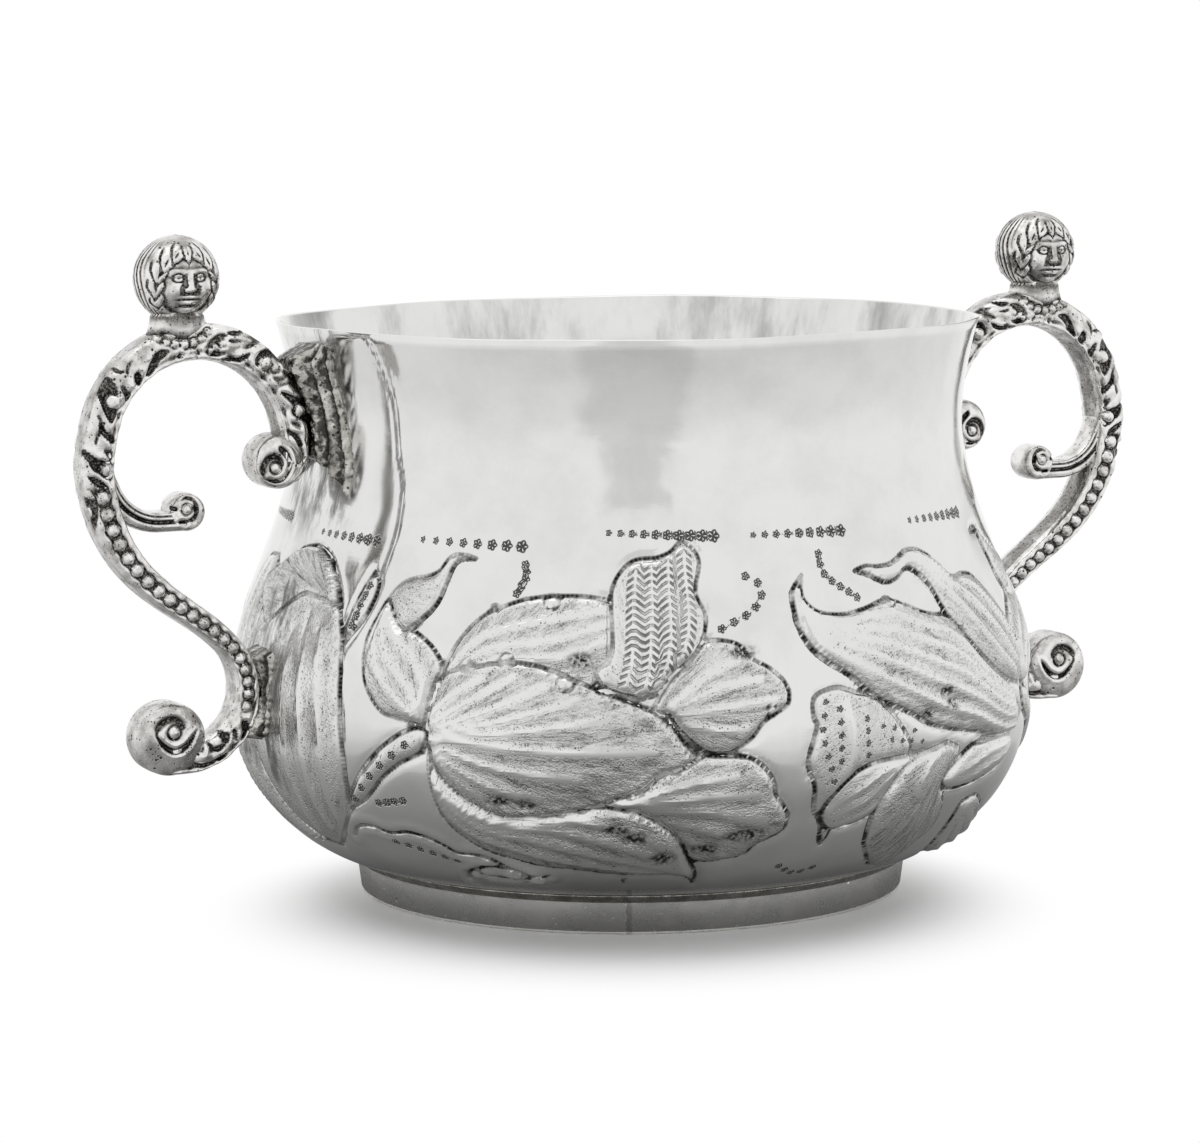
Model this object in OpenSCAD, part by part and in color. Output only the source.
// Two-handled silver caudle cup: a raised bowl on a strip foot, with two cast scroll handles.
// The origin is the middle of the foot's base, +Z is up and the handles lie along X.

/* [Bowl] */
// Height of the rim above the table
rim_height = 90; // [84:1:98]
// Outside diameter at the rim
rim_d = 110.4; // [107:0.2:116]
// Outside diameter at the narrowest part of the neck
neck_d = 105.2; // [101:0.2:107]
// Height of the narrowest part of the neck
neck_height = 75; // [71:0.5:78]
// Outside diameter at the widest part of the belly
belly_d = 126.6; // [120:0.2:132]
// Height of the widest part of the belly
belly_height = 31.5; // [28:0.5:35]
// Thickness of the raised sheet
wall = 0.7; // [0.5:0.05:1.2]
// Angle at which the underside leaves the flat bottom
underside_angle = 12; // [4:1:20]
// Angle at which the lip leans out from upright
lip_lean = 16; // [8:1:24]

/* [Foot] */
// Height of the foot ring
foot_height = 6; // [4:0.25:8]
// Outside diameter of the foot ring at its top
foot_d = 87.6; // [80:0.2:92]
// How much the foot ring draws in at its base, on the radius
foot_taper = 0.8; // [0:0.1:1.6]
// Thickness of the foot's strip
foot_strip = 1.4; // [1:0.1:2.4]
// Rounding of the foot's lower edges
foot_edge = 0.25; // [0.1:0.05:0.4]
// Leg of the solder fillet between foot and bowl
foot_fillet = 1.1; // [0.6:0.1:2]

/* [Handle scroll] */
// Height at which the loop of the handle comes nearest to the neck
upper_seat_height = 73; // [69:0.5:77]
// Height at which the tail of the handle comes nearest to the belly
lower_seat_height = 36; // [32:0.5:40]
// Thickness of the solder under the upper seat
upper_pad = 2.6; // [1.6:0.1:3.4]
// Thickness of the solder under the lower seat
lower_pad = 1.4; // [0.8:0.1:2.2]
// Thickness of the casting, across the handle
strip_thickness = 6.8; // [5.6:0.1:8]
// Radius of the finger hole inside the loop
finger_r = 13.1; // [11.5:0.1:14.5]
// Width of the strip at its upper seat
seat_width = 4.7; // [4:0.1:5.4]
// Width of the strip over the arch
arch_width = 5.7; // [4.8:0.1:6.6]
// Width of the strip at its outer shoulder
shoulder_width = 5.1; // [4.4:0.1:6]
// Width of the strip where its tail meets the belly
tail_width = 3.4; // [2.8:0.1:4.2]
// Width of the strip where it runs into the tail's volute
end_width = 4.8; // [4:0.1:5.4]
// How much the loop opens out below its shoulder
loop_growth = 1.2; // [0.4:0.1:2]
// Radius of the tail's middle line
tail_r = 10; // [8.5:0.1:11.5]
// Straight run between the tail and its volute
tail_run = 2.6; // [0.5:0.1:4]
// Radius of the volute inside the loop
upper_volute_r = 4.2; // [3.4:0.1:5]
// How far that volute's middle lies from the middle of the strip
upper_volute_in = 2.6; // [2:0.1:3.4]
// Radius of the volute on the tail
lower_volute_r = 5.6; // [4.6:0.1:6.4]
// How far each volute stands proud of the strip's face
volute_proud = 0.2; // [0:0.1:0.8]

/* [Spur scroll] */
// Radius of the spur's middle line
spur_r = 8.2; // [7:0.1:9]
// Width of the spur
spur_width = 3.2; // [2.6:0.1:3.8]
// Thickness of the spur, across the handle
spur_thickness = 5.4; // [4.2:0.1:6.4]
// How far the middle of the spur's bend lies below the middle of the finger hole
spur_drop = 2.7; // [1.6:0.1:3.6]
// Straight run between the spur's bend and its volute
spur_run = 4.3; // [2.6:0.1:5.4]
// Radius of the spur's volute
spur_volute_r = 2.9; // [2.2:0.1:3.4]

/* [Head] */
// Diameter of the head
head_d = 13.4; // [11:0.1:15]
// Diameter of the neck under the head
nape_d = 7.6; // [6:0.1:9]
// Diameter of the collar where the neck sits on the scroll
collar_d = 10; // [9:0.1:12]
// Height of the head's middle above the crown of the arch
head_lift = 6.6; // [6:0.1:9]
// How far the head stands outwards from the middle of the loop
head_offset = 2.5; // [0:0.1:5]
// How far the collar reaches down over the scroll
collar_lap = 1.2; // [0.6:0.1:2]

/* [Solder] */
// How far the upper solder spreads to each side of the strip
upper_spread = 1.2; // [0.8:0.1:2]
// How far the lower solder spreads to each side of the strip
lower_spread = 0.8; // [0.6:0.1:1.6]
// Length of the upper solder up and down the neck
upper_solder_length = 19; // [14:0.5:22]
// Length of the lower solder up and down the belly
lower_solder_length = 12.5; // [10:0.5:15]

/* [Hidden] */

silver = "silver";
solder = "lightgrey";
round_fn = 240;
small_fn = 64;
blob_fn = 24;

// Steps along each stretch of the bowl's profile and of the scrolls
profile_steps = 16;
arc_steps = 30;
short_steps = 8;
section_points = 12;
// Exponent of the strip's rounded square section
section_power = 3.4;

// The bowl's profile, outside, from the flat bottom to the rim, as three curves through foot, belly, neck and rim

// How far the bottom's flat runs past the foot ring
flat_margin = 0.4;
flat_r = foot_d / 2 + flat_margin;
// Lengths of the curves' handles, as shares of the height that each curve climbs
underside_pull = 0.4;
belly_pull = 0.52;
side_pull = 0.37;
lip_pull = 0.35;

function mix(a, b, t) = a + (b - a) * t;
function unit(v) = v / norm(v);
function bezier(p, t) = pow(1 - t, 3) * p[0] + 3 * pow(1 - t, 2) * t * p[1]
    + 3 * (1 - t) * t * t * p[2] + pow(t, 3) * p[3];
function bezier_line(p, steps, first = 0) = [for (i = [first : steps]) bezier(p, i / steps)];
function heading(a) = [cos(a), sin(a)];

flat_edge = [flat_r, foot_height];
belly = [belly_d / 2, belly_height];
neck = [neck_d / 2, neck_height];
rim = [rim_d / 2, rim_height];
underside_climb = belly_height - foot_height;
side_climb = neck_height - belly_height;
lip_climb = rim_height - neck_height;

outer_line = concat(
    bezier_line([flat_edge,
        flat_edge + underside_pull * underside_climb * heading(underside_angle),
        belly - [0, belly_pull * underside_climb],
        belly], profile_steps),
    bezier_line([belly,
        belly + [0, side_pull * side_climb],
        neck - [0, side_pull * side_climb],
        neck], profile_steps, 1),
    bezier_line([neck,
        neck + [0, lip_pull * lip_climb],
        rim - lip_pull * lip_climb * [sin(lip_lean), cos(lip_lean)],
        rim], profile_steps, 1));

// Outside radius of the bowl at a height
height_to_radius = [for (p = outer_line) [p[1], p[0]]];
function bowl_r(z) = lookup(z, height_to_radius);

// The inside line lies one wall thickness in from the outside line
function line_heading(line, i) = unit(line[min(i + 1, len(line) - 1)] - line[max(i - 1, 0)]);
function set_in(line, i, depth) = let (h = line_heading(line, i)) line[i] + depth * [-h[1], h[0]];
last = len(outer_line) - 1;
inner_line = [for (i = [last : -1 : 0])
    i == last ? rim - [wall / cos(lip_lean), 0] :
    i == 0 ? flat_edge + [-wall * tan(underside_angle / 2), wall] :
    set_in(outer_line, i, wall)];

module bowl_outside() {
    rotate_extrude($fn = round_fn)
        polygon(concat([[0, foot_height]], outer_line, [[0, rim_height]]));
}

// The main petals of the chased flowers, pushed out of the sheet from inside. A petal's outline lies on the wall
// as [angle from the front, run up the wall from the foot]. With it go its rise and the radius of its swelling.

function run_to(i) = i == 0 ? 0 : run_to(i - 1) + norm(outer_line[i] - outer_line[i - 1]);
run_to_radius = [for (i = [0 : last]) [run_to(i), outer_line[i][0]]];
run_to_height = [for (i = [0 : last]) [run_to(i), outer_line[i][1]]];
function wall_line(run) = [lookup(run, run_to_radius), lookup(run, run_to_height)];
function round_cup(p, angle) = [p[0] * sin(angle), -p[0] * cos(angle), p[1]];
function wall_point(p) = round_cup(wall_line(p[1]), p[0]);
function wall_up(run) = unit(wall_line(run + 1) - wall_line(run - 1));
function middle(points, i = 0) = i == len(points) ? [0, 0] : points[i] / len(points) + middle(points, i + 1);

// A closed outline drawn in by a distance
function cross_with_next(points, i) = cross(points[i], points[(i + 1) % len(points)]);
function turn_sign(points) = sign([for (i = [0 : len(points) - 1]) cross_with_next(points, i)]
    * [for (p = points) 1]);
function edge_normal(points, i) = let (n = len(points), w = unit(points[(i + 1) % n] - points[i % n])) [-w[1], w[0]];
function drawn_in(points, distance) = let (n = len(points), inward = turn_sign(points) * distance)
    [for (i = [0 : n - 1])
        let (before = edge_normal(points, i + n - 1), after = edge_normal(points, i))
        points[i] + inward * (before + after) / (1 + before * after)];

// How far a petal's outline is drawn in, to leave a groove between neighbours, and its hollow within that
petal_gap = 0.5;
petal_side = 0.9;
// How deep a petal's body reaches behind the wall, and how far it may stand out
petal_depth = 9;
petal_reach = 5;

first_tulip = [
    // back petal
    [1.1, 45, [[-51.8, 48], [-48.7, 53], [-41.5, 56.3], [-36, 56.8], [-31.5, 56], [-31.5, 49], [-34.5, 47.5],
        [-43, 48.5]]],
    // upright petal
    [1.3, 50, [[-25.5, 43.5], [-29.3, 46], [-29.5, 52], [-29.3, 58.5], [-26.5, 62], [-21, 63], [-18.7, 64.5],
        [-17, 61.5], [-17.2, 57], [-16.2, 53], [-18, 49], [-21.5, 45.5]]],
    // two petals on the right
    [1.4, 30, [[-21, 39.5], [-19.5, 44.5], [-16, 48.5], [-13, 49.3], [-10.5, 47.5], [-7, 45], [-5.3, 42],
        [-7.5, 38.9], [-10.5, 36], [-14, 33.9], [-17, 34.5], [-19, 37]]],
    [1.4, 32, [[-24, 26.5], [-20, 30], [-17.5, 32], [-13, 32.3], [-9, 30.5], [-7, 26.5], [-5, 23], [-6.5, 19],
        [-10, 16.2], [-14, 15], [-18, 16], [-20, 20], [-23, 23.5]]],
    // lower petal
    [1.3, 50, [[-54.3, 28], [-54.3, 24.5], [-52, 19.5], [-48.5, 16.8], [-41, 14], [-30, 12], [-20, 11.3],
        [-18.3, 14], [-21, 19], [-25, 23], [-31, 24], [-37, 22.8], [-44, 22.5], [-50, 25]]],
    // front petal
    [1.9, 47, [[-54.5, 35], [-53.8, 41], [-51, 45], [-44, 46], [-37, 45], [-29, 41.5], [-23, 38.5], [-19, 34],
        [-22.5, 30.8], [-27, 28], [-33, 26], [-40, 24.6], [-46, 24.8], [-51, 28.5]]]];

second_tulip = [
    // wavy back leaf
    [1.2, 50, [[44, 43], [42.5, 49.5], [38, 54], [31, 55.8], [26, 59], [23.5, 57.5], [27, 50.5], [32, 45.5],
        [38, 41]]],
    // stippled lobe
    [1.4, 28, [[21, 30.5], [15, 28.8], [11.3, 25], [10.3, 19], [12, 14], [16, 9.5], [19, 8.2], [22, 11.5],
        [24.8, 16], [24.5, 21], [22, 25]]],
    // beaded leaf
    [0.9, 40, [[7.5, 38.3], [2.5, 41.3], [-1.3, 40], [-1.5, 36], [-2.2, 31.5], [-1, 26], [1, 22], [5.5, 20.5],
        [8.5, 22.5], [10, 27], [12.5, 31], [10.5, 35]]],
    // front petal
    [1.9, 55, [[43, 34], [36, 39.5], [30, 44], [27, 48], [22.5, 50.5], [14, 53.5], [6, 52.3], [0.5, 53], [-2, 54],
        [-2, 51], [-1, 48], [4, 44], [10, 39.5], [16, 36.5], [24, 33.8], [33, 31.2], [38, 31]]]];

// a side leaf, which stands by the first tulip and, turned to face it, by the second
side_leaf = [1.1, 26, [[-55.5, 38.5], [-60, 38.5], [-64, 41], [-66.3, 45], [-66.3, 50], [-62.5, 50.5], [-58, 49],
    [-54.5, 45]]];
facing_turn = -8;
facing_leaf = [side_leaf[0], side_leaf[1], [for (p = side_leaf[2]) [facing_turn - p[0], p[1]]]];

// the broad leaves under a handle
seat_leaves = [
    [1.4, 44, [[-75, 21], [-71.5, 27], [-70.5, 37], [-72, 49], [-76, 56.5], [-82, 59.5], [-88, 59], [-93, 55],
        [-94.8, 48], [-94, 38], [-91, 28], [-84, 21]]],
    [1.1, 42, [[-98.5, 55], [-97.5, 48], [-97, 38], [-96, 31], [-93, 24], [-99, 24.5], [-103.5, 31],
        [-105.5, 38], [-105.5, 47], [-103, 54.5]]]];
// Clear space that the broad leaves leave round the handle's lower seat
seat_clear = 1.5;

petals = concat(first_tulip, second_tulip, [side_leaf, facing_leaf], seat_leaves);

module petal_body(petal, draw, inset) {
    rise = petal[0];
    swell_r = petal[1];
    outline = petal[2];
    centre = middle(outline);
    seat = wall_point(centre);
    climb = wall_up(centre[1]);
    up_wall = round_cup(climb, centre[0]);
    along_wall = [cos(centre[0]), sin(centre[0]), 0];
    translate(seat)
        rotate([0, acos(-climb[0]), centre[0] - 90])
            intersection() {
                translate([0, 0, -petal_depth])
                    linear_extrude(petal_depth + petal_reach)
                        polygon(drawn_in([for (p = outline)
                            let (q = wall_point(p) - seat) [-q * up_wall, q * along_wall]], draw));
                translate([0, 0, rise - swell_r])
                    sphere(r = swell_r - inset, $fn = round_fn);
            }
}

module petal_bodies(draw, inset) {
    for (half = [0, 180], petal = petals)
        rotate([0, 0, half])
            petal_body(petal, draw, inset);
}

// The space kept clear of petals for both handles' lower seats
module seat_space(extra) {
    translate([-belly_d, 0, lower_seat_height])
        rotate([0, 90, 0])
            cylinder(h = 2 * belly_d, r = lower_solder_length / 2 + seat_clear + extra, $fn = small_fn);
}

module bowl_inside() {
    rotate_extrude($fn = round_fn)
        polygon(concat(inner_line, [[0, foot_height + wall], [0, rim_height]]));
}

// The bowl, raised from one sheet and chased with the petals
module bowl() {
    color(silver)
        difference() {
            union() {
                bowl_outside();
                difference() {
                    petal_bodies(petal_gap, 0);
                    seat_space(0);
                }
            }
            bowl_inside();
            difference() {
                petal_bodies(petal_gap + petal_side, wall);
                seat_space(wall);
            }
        }
}

// The foot, a strip bent into a ring and set on its edge under the flat bottom
foot_top_r = foot_d / 2;
foot_base_r = foot_top_r - foot_taper;

module foot_section() {
    polygon([
        [foot_top_r - foot_strip, foot_height],
        [foot_base_r - foot_strip, foot_edge],
        [foot_base_r - foot_strip + foot_edge, 0],
        [foot_base_r - foot_edge, 0],
        [foot_base_r, foot_edge],
        [foot_top_r, foot_height]]);
}

module foot_ring() {
    color(silver)
        rotate_extrude($fn = round_fn) foot_section();
}

// Solder in the corner between the foot ring and the bowl's underside
module foot_solder() {
    color(solder)
        difference() {
            rotate_extrude($fn = round_fn)
                difference() {
                    polygon([
                        [foot_top_r - foot_strip / 2, foot_height],
                        [foot_top_r - foot_strip / 2, foot_height - foot_fillet],
                        [foot_top_r, foot_height - foot_fillet],
                        [foot_top_r + foot_fillet, bowl_low(foot_top_r + foot_fillet)],
                        [foot_top_r + foot_fillet, foot_height + foot_fillet],
                        [foot_top_r - foot_strip / 2, foot_height + foot_fillet]]);
                    foot_section();
                }
            bowl_outside();
        }
}

// Height of the bowl's underside at a radius
radius_to_height = [for (i = [0 : profile_steps]) outer_line[i]];
function bowl_low(r) = lookup(r, radius_to_height);

// The handle's middle line, in its own upright plane as [distance from the cup's axis, height].
// It runs from the volute inside the loop, over the arch and the shoulder, and down to the tail's volute.

loop_centre = [bowl_r(upper_seat_height) + upper_pad + seat_width + finger_r, upper_seat_height];
tail_centre = [bowl_r(lower_seat_height) + lower_pad + tail_width / 2 + tail_r, lower_seat_height];
// Angles about the loop's and the tail's centres at which the strip's stretches begin and end
loop_begin = 192;
loop_opens = 10;
loop_end = -20;
tail_begin = 140;
tail_end = 270;
// How far the strip winds round the volute inside the loop
curl_turn = 95;
// Share of the volute's radius at which that winding ends
curl_close = 0.6;
// Lengths of the diagonal's curve handles, as shares of its length
shoulder_pull = 0.5;
tail_pull = 0.3;

// The loop runs round the finger hole, widest over the arch, and opens out below the shoulder
loop_width_table = [[loop_opens, shoulder_width], [110, arch_width], [170, seat_width]];
function loop_width(a) = lookup(a, loop_width_table);
function loop_opening(a) = loop_growth * pow(max(0, loop_opens - a) / (loop_opens - loop_end), 1.2);
function loop_radius(a) = finger_r + loop_width(a) / 2 + loop_opening(a);
function loop_point(a) = loop_centre + loop_radius(a) * heading(a);
function tail_point(a) = tail_centre + tail_r * heading(a);

loop_start = loop_point(loop_begin);
upper_volute = loop_start - upper_volute_in * heading(loop_begin);
tail_stop = tail_point(tail_end);
lower_volute = tail_stop + [tail_run, lower_volute_r - end_width / 2];

diagonal_from = loop_point(loop_end);
diagonal_to = tail_point(tail_begin);
diagonal_length = norm(diagonal_to - diagonal_from);

function curl_point(t) = upper_volute
    + upper_volute_in * mix(1, curl_close, t) * heading(loop_begin + curl_turn * t);
curl_line = [for (i = [short_steps : -1 : 1]) curl_point(i / short_steps)];
loop_line = [for (i = [0 : arc_steps]) loop_point(mix(loop_begin, loop_end, i / arc_steps))];
shoulder_heading = unit(loop_point(loop_end) - loop_point(loop_end + 0.5));
diagonal_line = bezier_line([diagonal_from,
    diagonal_from + shoulder_pull * diagonal_length * shoulder_heading,
    diagonal_to - tail_pull * diagonal_length * heading(tail_begin + 90),
    diagonal_to], short_steps * 2, 1);
tail_line = [for (i = [1 : short_steps * 2]) tail_point(mix(tail_begin, tail_end, i / (short_steps * 2)))];
scroll_line = concat(curl_line, loop_line, diagonal_line, tail_line, [tail_stop + [tail_run, 0]]);

// The strip is widest over the arch, narrows down the diagonal and widens again into the tail's volute
curl_widths = [for (i = [short_steps : -1 : 1]) mix(1, curl_close, i / short_steps) * seat_width];
loop_widths = [for (i = [0 : arc_steps]) loop_width(mix(loop_begin, loop_end, i / arc_steps))];
diagonal_widths = [for (i = [1 : short_steps * 2]) mix(shoulder_width, tail_width, i / (short_steps * 2))];
tail_widths = [for (i = [1 : short_steps * 2]) mix(tail_width, end_width, i / (short_steps * 2))];
scroll_widths = concat(curl_widths, loop_widths, diagonal_widths, tail_widths, [end_width]);

// A cast strip of rounded square section along a line in the handle's plane

function rounded(c) = sign(c) * pow(abs(c), 2 / section_power);
section = [for (k = [0 : section_points - 1])
    let (a = 360 * (k + 0.5) / section_points) [rounded(cos(a)), rounded(sin(a))]];
function strip_ring(line, i, width, thickness) =
    let (h = line_heading(line, i), across = [-h[1], h[0]])
    [for (s = section)
        let (p = line[i] + across * s[0] * width / 2) [p[0], s[1] * thickness / 2, p[1]]];

module strip(line, widths, thickness) {
    rings = len(line);
    points = [for (i = [0 : rings - 1]) each strip_ring(line, i, widths[i], thickness)];
    sides = [for (i = [0 : rings - 2], k = [0 : section_points - 1])
        let (n = (k + 1) % section_points, a = i * section_points, b = a + section_points)
        each [[a + k, a + n, b + k], [a + n, b + n, b + k]]];
    first_cap = [for (k = [section_points - 1 : -1 : 0]) k];
    last_cap = [for (k = [0 : section_points - 1]) (rings - 1) * section_points + k];
    polyhedron(points, concat(sides, [first_cap, last_cap]), convexity = 6);
}

// A round boss across the handle, with its rims eased
module volute(centre, r, thickness) {
    ease = thickness / 5;
    translate([centre[0], 0, centre[1]])
        rotate([90, 0, 0])
            rotate_extrude($fn = small_fn)
                polygon([
                    [0, -thickness / 2],
                    [r - ease, -thickness / 2],
                    [r, -thickness / 2 + ease],
                    [r, thickness / 2 - ease],
                    [r - ease, thickness / 2],
                    [0, thickness / 2]]);
}

module scroll_shape() {
    strip(scroll_line, scroll_widths, strip_thickness);
    volute(upper_volute, upper_volute_r, strip_thickness + 2 * volute_proud);
    volute(lower_volute, lower_volute_r, strip_thickness + 2 * volute_proud);
}

// The handle's main casting
module handle_scroll() {
    color(silver)
        union() scroll_shape();
}

// The spur inside the handle: it leaves the shoulder, bends in and ends in a small volute
spur_root_angle = 25;
// Steps over which the spur's root thins away inside the shoulder
spur_root_steps = 6;
spur_side = finger_r + spur_width / 2 - spur_r;
spur_centre = loop_centre + [spur_side, -spur_drop];
spur_stop = spur_centre - [0, spur_r];
spur_volute = spur_stop + [-spur_run, spur_volute_r - spur_width / 2];
spur_bend = [for (i = [0 : short_steps * 2])
    spur_centre + spur_r * heading(mix(spur_root_angle, -90, i / (short_steps * 2)))];
spur_line = concat(spur_bend, [spur_stop - [spur_run, 0]]);
spur_widths = [for (i = [0 : len(spur_line) - 1]) spur_width * mix(0.3, 1, min(1, i / spur_root_steps))];

module spur_scroll() {
    color(silver)
        difference() {
            union() {
                strip(spur_line, spur_widths, spur_thickness);
                volute(spur_volute, spur_volute_r, spur_thickness + volute_proud);
            }
            scroll_shape();
        }
}

// The head on the crown of the arch, with a neck and a collar that sits astride the scroll
crown_height = loop_centre[1] + finger_r + arch_width;
head_height = crown_height + head_lift;

module head() {
    nape_angle = acos(nape_d / head_d);
    color(silver)
        difference() {
            translate([loop_centre[0] + head_offset, 0, 0])
                rotate_extrude($fn = small_fn)
                    polygon(concat(
                        [[0, crown_height - collar_lap], [collar_d / 2, crown_height - collar_lap],
                            [nape_d / 2, crown_height + collar_lap]],
                        [for (i = [0 : arc_steps])
                            let (a = mix(-nape_angle, 90, i / arc_steps))
                            [head_d / 2 * cos(a), head_height + head_d / 2 * sin(a)]]));
            scroll_shape();
        }
}

// Solder that beds the handle on the bowl: a lump along the seat, cut by the bowl and by the scroll
module seat_solder(height, length, pad, spread) {
    reach = strip_thickness / 2 + spread;
    color(solder)
        difference() {
            hull()
                for (up = [-0.5, 0, 0.5])
                    let (z = height + up * (length - 2 * reach))
                    translate([bowl_r(z) + pad - spread, 0, z])
                        sphere(r = reach, $fn = blob_fn);
            bowl_outside();
            scroll_shape();
        }
}

module upper_solder() {
    seat_solder(upper_seat_height, upper_solder_length, upper_pad, upper_spread);
}

module lower_solder() {
    seat_solder(lower_seat_height, lower_solder_length, lower_pad, lower_spread);
}

// The handles face each other across the cup: the right one lies along +X, the left one along -X
module on_left() {
    rotate([0, 0, 180]) children();
}

bowl();
foot_ring();
foot_solder();
on_left() handle_scroll();  // left_handle_scroll
on_left() spur_scroll();  // left_spur_scroll
on_left() head();  // left_head
on_left() upper_solder();  // left_upper_solder
on_left() lower_solder();  // left_lower_solder
handle_scroll();  // right_handle_scroll
spur_scroll();  // right_spur_scroll
head();  // right_head
upper_solder();  // right_upper_solder
lower_solder();  // right_lower_solder
